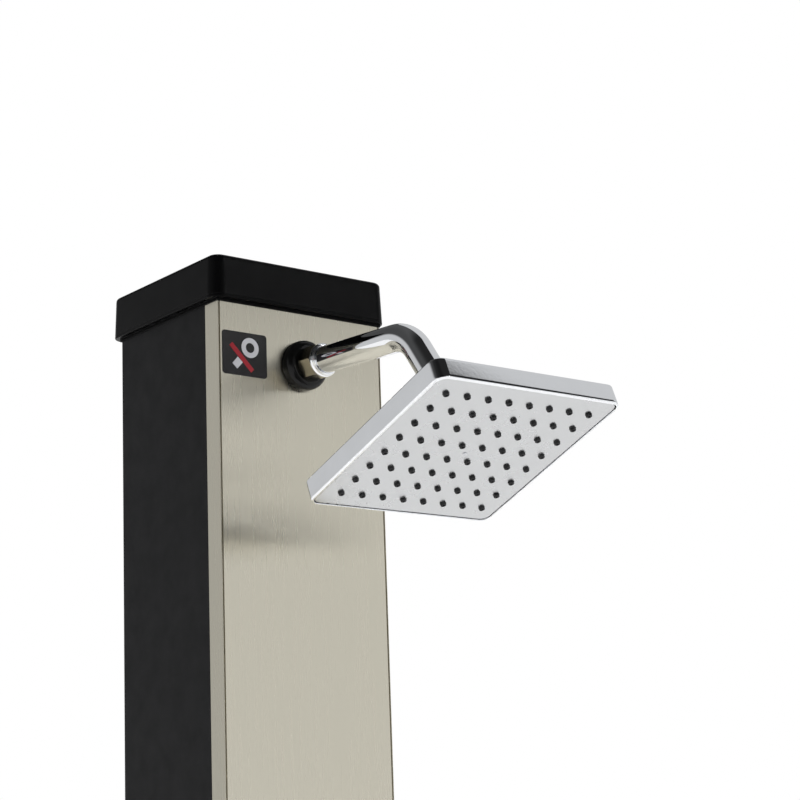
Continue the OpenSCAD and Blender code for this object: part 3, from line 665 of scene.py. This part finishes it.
def arm_tube():
    """Bent tube with an even wall: rings along the first run, the bend and the second run."""
    bend_steps, run_steps, sides = 40, 8, 96
    run_end = 25 * MM
    places = [OUTLET @ Matrix.Translation((0, 0, HEX_END + 0.1 * MM))]
    places += [
        OUTLET @ Matrix.Translation((0, 0, ARM_RUN * k / run_steps)) for k in range(3, run_steps)
    ]
    for k in range(bend_steps + 1):
        turn = Matrix.Rotation(BEND_ANGLE * k / bend_steps, 4, "X")
        to_axis = Matrix.Translation((0, -BEND_RADIUS, 0))
        places.append(BEND @ to_axis @ turn @ to_axis.inverted())
    places.append(SECOND_RUN @ Matrix.Translation((0, 0, run_end)))

    angles = [2 * math.pi * i / sides for i in range(sides)]

    def rings(radius, order):
        circle = [Vector((radius * math.cos(a), radius * math.sin(a), 0)) for a in angles]
        return [[place @ point for point in circle] for place in order]

    whole = rings(TUBE_R, places) + rings(TUBE_BORE_R, places[::-1])
    add_piece("arm_tube", skin(whole, WORLD, loop=True), "shower_arm", sharp=60)


def swivel_ball():
    """Nut, stem and ball of the swivel, with the water way through them."""
    bore = 3.5 * MM
    ball_r = 11 * MM
    ball_steps = 32
    stem_r = 5.5 * MM
    filter_r, filter_z = 6.6 * MM, 14 * MM
    sleeve_r, sleeve_start = TUBE_BORE_R - 0.05 * MM, 12 * MM
    nut_start, nut_end, across_flats = 25 * MM, 31 * MM, 20 * MM
    ball_centre = (BALL - SECOND_RUN.translation).length
    stem_angle = 180 - math.degrees(math.asin(stem_r / ball_r))
    end_angle = math.degrees(math.asin(bore / ball_r))
    profile = [(filter_r, sleeve_start), (sleeve_r, sleeve_start), (sleeve_r, nut_start)]
    profile += hexagon_rows(across_flats, nut_start, nut_end, chamfer=0.9 * MM)
    profile += [(stem_r, nut_end)]
    for k in range(ball_steps + 1):
        a = math.radians(stem_angle + (end_angle - stem_angle) * k / ball_steps)
        profile.append((ball_r * math.sin(a), ball_centre + ball_r * math.cos(a)))
    profile += [(bore, filter_z), (filter_r, filter_z)]
    add_piece("swivel_ball", turned(profile, SECOND_RUN, segments=72), "ball_connector", sharp=28)


grommet()
connector()
collar()
arm_tube()
swivel_ball()

# ---------- rain head ----------


def head_casing():
    """Head casing: rings from the plate's pocket over rim and back to the neck, and down inside."""
    front_r = 1.6 * MM
    back_r = 1.2 * MM
    lip_z = -0.6 * MM
    lip_in = PLATE_HALF + 0.2 * MM
    hub_r = 26 * MM
    fillet_r = 3 * MM
    neck_top = FACE_DROP + 1.4 * MM
    socket_r = 14.5 * MM
    slope_steps = 12
    pocket_z, pocket_half = 3.2 * MM, 70 * MM
    hollow_z, hollow_half, hollow_corner = 11 * MM, 66 * MM, 5 * MM
    hollow_top, hollow_top_r, water_way_r = 20.5 * MM, 24 * MM, 8 * MM
    nearly_round = 0.9999

    def square(z, half, radius):
        return [(x, y, z) for x, y in rounded_rectangle(half, half, radius, steps=10)]

    def round_ring(z, radius):
        return square(z, radius, radius * nearly_round)

    def rim(z, inset):
        return square(z, HEAD_HALF - inset, HEAD_CORNER_R - inset)

    lip_corner = PLATE_CORNER_R + 0.2 * MM
    rings = [square(pocket_z, pocket_half, hollow_corner), square(pocket_z, lip_in, lip_corner)]
    rings.append(square(lip_z + 0.25 * MM, lip_in, lip_corner))
    rings.append(square(lip_z, lip_in + 0.25 * MM, lip_corner + 0.25 * MM))
    rings += [rim(z, inset) for inset, z in arc((front_r, lip_z + front_r), front_r, 270, 180, 6)]
    rings.append(rim(lip_z + front_r + 1.2 * MM, 0))
    rings.append(rim(HEAD_RIM_H - back_r - 1.2 * MM, 0))
    rings += [
        rim(z, inset) for inset, z in arc((back_r, HEAD_RIM_H - back_r), back_r, 180, 100, 6)
    ]
    slope_from = HEAD_HALF - back_r
    for k in range(1, slope_steps + 1):
        share = k / slope_steps
        half = slope_from + (hub_r - slope_from) * share
        corner = HEAD_CORNER_R - back_r + (hub_r - HEAD_CORNER_R + back_r) * share**2
        z = HEAD_RIM_H + (HEAD_BACK_Z - HEAD_RIM_H) * share
        rings.append(square(z, half, corner * nearly_round))
    for r, z in arc((NECK_R + fillet_r, HEAD_BACK_Z + fillet_r), fillet_r, 270, 180, 5):
        rings.append(round_ring(z, r))
    for r, z in (
        (NECK_R, neck_top - 0.5 * MM),
        (NECK_R - 0.5 * MM, neck_top),
        (socket_r, neck_top),
        (socket_r * 0.98, FACE_DROP - 3 * MM),
        (water_way_r, FACE_DROP - 12 * MM),
        (water_way_r, hollow_top),
        (hollow_top_r, hollow_top),
    ):
        rings.append(round_ring(z, r))
    rings.append(square(hollow_z, hollow_half, hollow_corner))
    add_piece("head_casing", skin(rings, HEAD, loop=True), "head_shell", sharp=50)


def nozzle_places():
    """Centres of the nozzles in the head's frame."""
    span = (NOZZLE_ROWS - 1) / 2
    steps = [(k - span) * NOZZLE_PITCH for k in range(NOZZLE_ROWS)]
    return [(x, y) for x in steps for y in steps]


def spray_plate():
    """Nozzle plate: a square cell with a sunk hole per nozzle, in a border with round corners."""
    per_side = 6
    per_corner = 5
    hole_r = NOZZLE_R + 0.06 * MM
    sink = 0.28 * MM
    cell = NOZZLE_PITCH / 2
    block = NOZZLE_PITCH * NOZZLE_ROWS / 2
    edge_r = 0.5 * MM
    vertices, faces = [], []

    def add(points):
        start = len(vertices)
        vertices.extend(HEAD @ Vector(p) for p in points)
        return list(range(start, start + len(points)))

    def bridge(first, second):
        for i in range(len(first)):
            j = (i + 1) % len(first)
            faces.append((first[i], first[j], second[j], second[i]))

    def square_ring(half):
        """Points round a square from the middle of its right side, per_side steps to a side."""
        ring = []
        for i in range(4 * per_side):
            side, step = divmod(i + per_side // 2, per_side)
            along = -half + 2 * half * step / per_side
            ring.append([(half, along), (-along, half), (-half, -along), (along, -half)][side % 4])
        return ring

    def circle(radius, order):
        turns = [math.atan2(y, x) for x, y in order]
        return [(radius * math.cos(a), radius * math.sin(a)) for a in turns]

    outline = square_ring(cell)
    levels = [
        (outline, 0),
        (circle(hole_r + sink + 0.8 * MM, outline), 0),
        (circle(hole_r + sink, outline), 0),
        (circle(hole_r, outline), sink),
        (circle(hole_r, outline), PLATE_T),
        (outline, PLATE_T),
    ]
    for cx, cy in nozzle_places():
        loops = [add([(cx + x, cy + y, z) for x, y in ring]) for ring, z in levels]
        for first, second in zip(loops, loops[1:]):
            bridge(first, second)

    steps = per_side * NOZZLE_ROWS
    along_side = [-block + NOZZLE_PITCH * k / per_side for k in range(steps + 1)]
    outside = PLATE_HALF - 0.3 * MM
    border = outside - edge_r

    def border_ring(half, z, inner):
        """Ring with a point for each one round the cells, with its corners' points on arcs."""
        centre = PLATE_HALF - PLATE_CORNER_R
        straight = [y for y in along_side if abs(y) < centre]
        spare = (len(along_side) - len(straight)) // 2
        bend = arc((centre, centre), half - centre, 0, 90, 2 * spare + per_corner - 1)
        split = spare + per_corner
        ring = []
        for turn in range(4):
            rotation = Matrix.Rotation(turn * math.pi / 2, 2)
            if inner:
                points = [Vector((half, y)) for y in along_side]
                points += [Vector((block, block))] * per_corner
            else:
                points = [Vector((y, -x)) for x, y in bend[split:]]
                points += [Vector((half, y)) for y in straight]
                points += [Vector(p) for p in bend[:split]]
            ring += [(*(rotation @ p), z) for p in points]
        return ring

    loops = [
        add(border_ring(half, z, inner))
        for half, z, inner in (
            (block, PLATE_T, True),
            (outside, PLATE_T, False),
            (outside, edge_r, False),
            (outside - edge_r * 0.3, edge_r * 0.3, False),
            (border, 0, False),
            (border - 1 * MM, 0, False),
            (block, 0, True),
        )
    ]
    for first, second in zip(loops, loops[1:]):
        bridge(first, second)
    add_piece("spray_plate", (vertices, faces), "face_plate", sharp=40)


def spray_nozzles():
    """Rubber mat behind the plate with one soft-edged nozzle through each hole."""
    profile = rounded_corners(
        [
            (NOZZLE_R, PLATE_T + 0.5 * MM, 0),
            (NOZZLE_R, -NOZZLE_OUT, 0.55 * MM),
            (1.15 * MM, -NOZZLE_OUT, 0.25 * MM),
            (0.95 * MM, 0.6 * MM, 0),
        ]
    )
    mat_half, mat_corner_r, mat_t = 71.5 * MM, 4 * MM, 1.2 * MM
    mat = rounded_rectangle(mat_half, mat_half, mat_corner_r)
    solids = [prism(mat, PLATE_T, PLATE_T + mat_t, HEAD)]
    for x, y in nozzle_places():
        place = HEAD @ Matrix.Translation((x, y, 0))
        solids.append(turned(profile, place, segments=28, loop=False))
    add_piece("spray_nozzles", joined(solids), "nozzle_mat", sharp=50)


head_casing()
spray_plate()
spray_nozzles()
softened("retaining_collar", 0.3 * MM)

# ---------- mixer, foot tap, inlet and screws ----------


def mixer_cover():
    """Domed cover with a round window for the stem."""
    outer, inner, window = 25 * MM, 22 * MM, 12 * MM
    low = -2 * MM

    def ball(radius, start, end, steps):
        angles = [start + (end - start) * i / steps for i in range(steps + 1)]
        return [(radius * math.sin(a), radius * math.cos(a)) for a in angles]

    rim = 0.5 * MM
    profile = ball(outer, math.acos(low / outer), math.asin((window + rim) / outer), 24)
    profile.append((window, math.sqrt(outer**2 - window**2) - rim))
    profile += ball(inner, math.asin(window / inner), math.acos(low / inner), 20)
    place = frame_at(MIXER_PIVOT, ACROSS, OUTWARD)
    add_piece("mixer_cover", turned(profile, place, segments=96), "mixer_dome")


def mixer_plate():
    """Round cover plate of the mixer with a soft edge and a low cone towards the body."""
    outer, bore = 34 * MM, 25.05 * MM
    rim_t, middle_t = 2.2 * MM, 4 * MM
    profile = rounded_corners(
        [
            (bore, 0, 0),
            (outer, 0, 0),
            (outer, rim_t, 0.6 * MM),
            (outer - 3 * MM, middle_t, 1.2 * MM),
            (bore, middle_t, 0.2 * MM),
        ],
        steps=6,
    )
    place = frame_at(Vector((0, FRONT_Y, MIXER_PIVOT.z)), ACROSS, OUTWARD)
    add_piece("mixer_plate", turned(profile, place, segments=128), "mixer_escutcheon")


def hose_nipple():
    """Nipple with a hexagon at the wall and a screw thread for the hose connector."""
    low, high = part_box("hose_inlet")
    crest, root, bore = 13.2 * MM, 12.1 * MM, 6 * MM
    across_flats = 32 * MM
    pitch = 1.81 * MM
    wall = BACK_Y + 5 * MM
    end = high.y
    first, steps = wall + 1.2 * MM, 64

    def thread(z):
        def radius(angle):
            ridge = abs(2 * ((z / pitch - angle / (2 * math.pi)) % 1) - 1)
            return crest - (crest - root) * min(1, max(0, 1.5 * ridge - 0.25))

        return radius

    stub_r, stub_start, stub_end = 10 * MM, 46 * MM, 56 * MM
    profile = [(bore, stub_start), (stub_r, stub_start), (stub_r, stub_end)]
    profile += [(crest, stub_end), (crest, BACK_Y)]
    profile += hexagon_rows(across_flats, BACK_Y, wall)
    profile += [(root, wall), (root, first)]
    last = end - 1 * MM
    heights = [first + (last - first) * k / steps for k in range(steps + 1)]
    profile += [(thread(z), z) for z in heights]
    profile += [(root, last), (root - 0.6 * MM, end)]
    profile += [(bore + 0.4 * MM, end), (bore, end - 0.4 * MM)]
    place = frame_at(Vector((0, 0, (low.z + high.z) / 2)), ACROSS, BACKWARD)
    add_piece("hose_nipple", turned(profile, place, segments=72), "hose_inlet")


def pan_screw(place, head_r, head_h, shank_r, shank_l, socket):
    """Pan-head screw with a hexagon socket, seated on local z = 0."""
    dome_steps = 6
    recess = hexagon_radius(socket, socket)
    rows = [(recess, head_h * 0.4), (recess, head_h * 0.94), (socket * 0.64, head_h)]
    for k in range(dome_steps + 1):
        a = math.radians(90 - 90 * k / dome_steps)
        rows.append((head_r * (0.66 + 0.34 * math.cos(a)), head_h * (0.3 + 0.7 * math.sin(a))))
    rows += [(head_r, 0.05 * MM), (shank_r, 0), (shank_r, -shank_l)]
    return turned(rows, place, segments=48, loop=False)


def screws():
    """Socket screws of the base and the cap, and the small one on the foot tap."""
    low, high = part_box("base_screws")
    head_r = 5.5 * MM
    middle = (low.z + high.z) / 2
    places = [
        frame_at(Vector((side * SIDE_X, y, middle)), BACKWARD, side * ACROSS)
        for side in (-1, 1)
        for y in (low.y + head_r, high.y - head_r)
    ]
    solids = [pan_screw(place, head_r, 3 * MM, 2.9 * MM, 8 * MM, 4 * MM) for place in places]
    add_piece("casing_screws", joined(solids), "base_screws")
    low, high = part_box("cap_screws")
    head_r = 4 * MM
    middle = (low.z + high.z) / 2
    places = [
        frame_at(Vector((x, BACK_Y, middle)), ACROSS, BACKWARD)
        for x in (low.x + head_r, high.x - head_r)
    ]
    solids = [pan_screw(place, head_r, 2.4 * MM, 1.9 * MM, 8 * MM, 3 * MM) for place in places]
    add_piece("lid_screws", joined(solids), "cap_screws")
    low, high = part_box("tap_screw")
    place = frame_at((low + high) / 2, ACROSS, OUTWARD)
    solid = pan_screw(place, 3.6 * MM, 1.6 * MM, 1.6 * MM, 1.6 * MM, 2.5 * MM)
    add_piece("lever_fixing", solid, "tap_screw")


mixer_cover()
mixer_plate()
hose_nipple()
screws()
for soft_node, edge_mm in (
    ("base_plate", 1.2),
    ("foot_skirt", 0.8),
    ("mixer_body", 0.4),
    ("mixer_lever", 0.6),
    ("index_cap", 0.3),
    ("foot_tap_rosette", 0.4),
    ("foot_tap_body", 0.4),
    ("foot_tap_lever", 0.6),
    ("spout_aerator", 0.25),
):
    softened(soft_node, edge_mm * MM)

# ---------- studio ----------

BAND_LIGHT = 0.75
BACK_CEILING_LIGHT = 0.085
FRONT_CEILING_LIGHT = 0.02
BOX_LIGHT = 0.64
LAMP_LIGHT = 22.0


def floor():
    """Pale paper floor that reaches the horizon."""
    mesh = bpy.data.meshes.new("studio_floor")
    half = 60
    corners = [(-half, -half, 0), (half, -half, 0), (half, half, 0), (-half, half, 0)]
    mesh.from_pydata(corners, [], [(0, 1, 2, 3)])
    plane = bpy.data.objects.new("studio_floor", mesh)
    bpy.context.scene.collection.objects.link(plane)
    finish = Finish("floor_paper")
    dark, light = shades((0.80, 0.80, 0.80), 0.02)
    finish.set(Base_Color=finish.mix(finish.noise(3), dark, light), Roughness=0.7)
    mesh.materials.append(finish.material)


def soft_box(name, place, target, size, power):
    """Area light aimed at a point. It lights matt surfaces and isn't mirrored."""
    data = bpy.data.lights.new(name, "AREA")
    data.shape = "RECTANGLE"
    data.size, data.size_y = size
    data.energy = power
    light = bpy.data.objects.new(name, data)
    light.location = place
    light.rotation_mode = "QUATERNION"
    light.rotation_quaternion = (Vector(target) - Vector(place)).to_track_quat("-Z", "Y")
    light.visible_glossy = False
    light.visible_camera = False
    bpy.context.scene.collection.objects.link(light)


def soft_sky(strength):
    """Even, widely spread light from overhead. It lights matt surfaces and isn't mirrored."""
    data = bpy.data.lights.new("soft_sky", "SUN")
    data.energy = strength
    data.angle = math.radians(70)
    sky = bpy.data.objects.new("soft_sky", data)
    sky.rotation_euler = (math.radians(-18), math.radians(8), 0)
    sky.visible_glossy = False
    bpy.context.scene.collection.objects.link(sky)


def studio_world():
    """White surroundings, with softer ones for reflections.

    Reflections show a bright band round the horizon, a dim ceiling, a dark area to the front left,
    a large box on the right and a small lamp.
    """
    world = bpy.data.worlds.new("studio")
    bpy.context.scene.world = world
    world.use_nodes = True
    tree = world.node_tree
    nodes, links = tree.nodes, tree.links
    nodes.clear()

    def add(kind, inputs=None, **settings):
        node = nodes.new(kind)
        for key, value in settings.items():
            setattr(node, key, value)
        for socket, value in (inputs or {}).items():
            if isinstance(value, bpy.types.NodeSocket):
                links.new(value, node.inputs[socket])
            else:
                node.inputs[socket].default_value = value
        return node

    def smooth(value, start, end, low, high):
        inputs = {"Value": value, "From Min": start, "From Max": end, "To Min": low, "To Max": high}
        return add("ShaderNodeMapRange", inputs, interpolation_type="SMOOTHSTEP").outputs[0]

    def lobe(heading, elevation, outer, inner, outside, inside):
        """Value that changes from outside to inside between two angles from a direction."""
        h, e = math.radians(heading), math.radians(elevation)
        aim = (math.sin(h) * math.cos(e), math.cos(h) * math.cos(e), math.sin(e))
        inputs = {0: direction, 1: aim}
        dot = add("ShaderNodeVectorMath", inputs, operation="DOT_PRODUCT").outputs["Value"]
        start, end = math.cos(math.radians(outer)), math.cos(math.radians(inner))
        return smooth(dot, start, end, outside, inside)

    def math_node(operation, first, second):
        return add("ShaderNodeMath", {0: first, 1: second}, operation=operation).outputs[0]

    direction = add("ShaderNodeTexCoord").outputs["Generated"]
    axes = add("ShaderNodeSeparateXYZ", {0: direction}).outputs
    band_top = smooth(axes["Y"], -0.4, 0.3, 0.32, 0.42)
    above = math_node("SUBTRACT", axes["Z"], band_top)
    ceiling = smooth(axes["Y"], -0.2, 0.25, FRONT_CEILING_LIGHT, BACK_CEILING_LIGHT)
    band = smooth(above, -0.10, 0.06, BAND_LIGHT, ceiling)
    front_left = lobe(218, 12, 42, 24, 1.0, 0.04)
    front_gain = lobe(142, 6, 48, 22, 1.0, 1.2)
    back_gain = lobe(322, 12, 60, 35, 1.0, 0.8)
    gain = math_node("MULTIPLY", front_gain, back_gain)
    shaded = math_node("MULTIPLY", math_node("MULTIPLY", band, front_left), gain)
    side_box = lobe(76, 47, 33, 31.8, 0.0, BOX_LIGHT)
    lamp = lobe(146, 24.5, 3.2, 2.2, 0.0, LAMP_LIGHT)
    reflected = math_node("MAXIMUM", math_node("MAXIMUM", shaded, side_box), lamp)
    backdrop = add("ShaderNodeBackground", {"Color": rgb(1, 1, 1), "Strength": 1.0})
    studio = add("ShaderNodeBackground", {"Color": rgb(0.98, 0.99, 1.0), "Strength": reflected})
    seen = add("ShaderNodeLightPath").outputs["Is Camera Ray"]
    mixed = add("ShaderNodeMixShader", {0: seen, 1: studio.outputs[0], 2: backdrop.outputs[0]})
    add("ShaderNodeOutputWorld", {"Surface": mixed.outputs[0]})


def camera():
    """View from the front left, a little below the head, looking slightly up."""
    data = bpy.data.cameras.new("camera")
    data.sensor_width = 36
    data.lens = 93.4
    data.shift_y = 0.06
    data.clip_end = 100
    eye = bpy.data.objects.new("camera", data)
    eye.location = (-0.8592, -1.2773, 1.7189)
    elevation, roll, heading = 11.913, 1.927, 37.697  # degrees; the heading is from +Y to +X
    eye.rotation_euler = [math.radians(a) for a in (90 + elevation, roll, -heading)]
    bpy.context.scene.collection.objects.link(eye)
    bpy.context.scene.camera = eye


floor()
studio_world()
soft_sky(3.6)
soft_box("key_left", (-1.9, -1.0, 3.4), (0, -0.1, 2.0), (0.5, 0.5), 26)
camera()

scene = bpy.context.scene
scene.view_settings.view_transform = "Standard"
scene.view_settings.look = "None"
